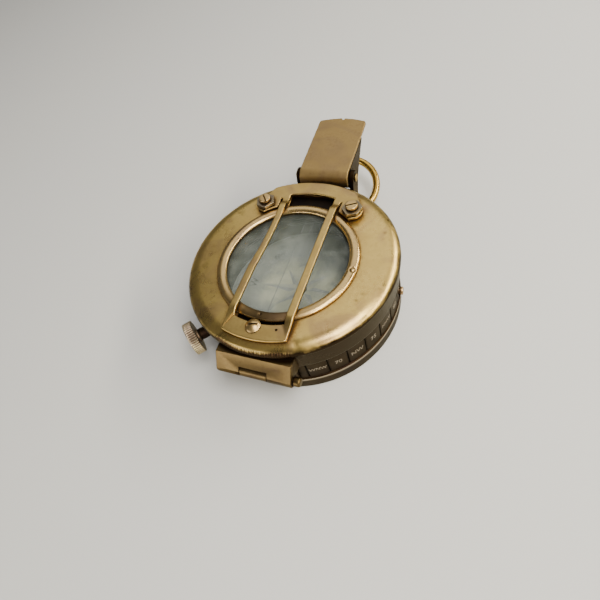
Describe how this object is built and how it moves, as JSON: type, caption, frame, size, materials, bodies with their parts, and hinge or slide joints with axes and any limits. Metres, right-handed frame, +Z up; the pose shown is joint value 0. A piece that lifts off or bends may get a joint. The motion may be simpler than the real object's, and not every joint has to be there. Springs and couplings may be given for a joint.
{
  "type": "geology compass",
  "caption": "Round brass pocket compass with a deep hinged lid, guarded window, turning bezel, clamp screw, folding prism arm and thumb ring.",
  "frame": {"origin": "centre of the case's underside", "axes": "+Z up through the case and lid, +Y towards the prism arm and thumb ring, -Y towards the lid's hinge"},
  "size_m": [0.075, 0.1124, 0.0316],
  "materials": {
    "lid_brass": "worn polish, olive gold",
    "satin_brass": "satin",
    "case_brass": "tarnished brown",
    "steel": "bright",
    "glass": "clear, faintly green",
    "card": "printed cream paper"
  },
  "bodies": {
    "case": {"case_body": "case_brass", "base_plate": "case_brass", "base_screw_1": "steel", "base_screw_2": "steel", "base_screw_3": "steel", "pivot_post": "steel", "case_glass": "glass", "case_glass_ring": "case_brass", "case_hinge_leaf": "case_brass", "hinge_pin": "case_brass", "clamp_boss": "case_brass", "arm_guide": "case_brass", "guide_screw_left": "satin_brass", "guide_screw_right": "satin_brass", "ring_lug": "case_brass"},
    "lid": {"lid_shell": "lid_brass", "lid_hinge_leaf": "lid_brass", "window_bead": "satin_brass", "window_glass": "glass", "window_clip": "case_brass", "guard_frame": "satin_brass", "guard_nut_left": "satin_brass", "guard_nut_right": "satin_brass", "guard_screw_left": "satin_brass", "guard_screw_right": "satin_brass", "guard_screw_front": "satin_brass"},
    "bezel": {"bezel_ring": "satin_brass", "bezel_glass": "glass"},
    "card": {"compass_card": "card", "magnet_bar": "steel", "jewel_cap": "case_brass"},
    "clamp_shoe": {"clamp_shoe": "case_brass"},
    "clamp_screw": {"clamp_screw": "satin_brass"},
    "brake": {"brake_button": "satin_brass", "brake_leaf": "steel"},
    "arm_slide": {"arm_bracket": "case_brass", "arm_pin": "satin_brass"},
    "arm": {"arm_strip": "satin_brass", "prism_box": "case_brass", "prism": "glass", "eye_lens": "glass", "lens_ring": "satin_brass"},
    "thumb_ring": {"thumb_ring": "satin_brass"}
  },
  "joints": [
    {"name": "lid_hinge", "type": "hinge", "parent": "case", "child": "lid", "pos_m": [0, -0.0395, 0.0163], "axis": [1, 0, 0], "range_deg": [0, 172]},
    {"name": "bezel_turn", "type": "hinge", "parent": "case", "child": "bezel", "pos_m": [0, 0, 0.0159], "axis": [0, 0, 1], "continuous": true},
    {"name": "card_turn", "type": "hinge", "parent": "case", "child": "card", "pos_m": [0, 0, 0.006], "axis": [0, 0, 1], "continuous": true},
    {"name": "clamp_turn", "type": "hinge", "parent": "clamp_shoe", "child": "clamp_screw", "pos_m": [-0.0259, -0.0278, 0.0132], "axis": [-0.682, -0.7314, 0], "range_deg": [0, 540]},
    {"name": "clamp_slide", "type": "slide", "parent": "case", "child": "clamp_shoe", "axis": [-0.682, -0.7314, 0], "range_m": [0, 0.00075]},
    {"name": "brake_press", "type": "slide", "parent": "case", "child": "brake", "axis": [-0.9903, -0.1392, 0], "range_m": [0, 0.0009], "stiffness_N_per_m": 300, "springref_m": -0.0004},
    {"name": "arm_focus", "type": "slide", "parent": "case", "child": "arm_slide", "axis": [0, 0, 1], "range_m": [0, 0.003]},
    {"name": "arm_fold", "type": "hinge", "parent": "arm_slide", "child": "arm", "pos_m": [0, 0.0424, 0.0247], "axis": [1, 0, 0], "range_deg": [0, 110]},
    {"name": "ring_swing", "type": "hinge", "parent": "case", "child": "thumb_ring", "pos_m": [0, 0.0396, 0.0034], "axis": [1, 0, 0], "range_deg": [-17, 26]}
  ],
  "couplings": [
    {"joint": "clamp_turn", "follows": "clamp_slide", "rad_per_m": 12566}
  ]
}
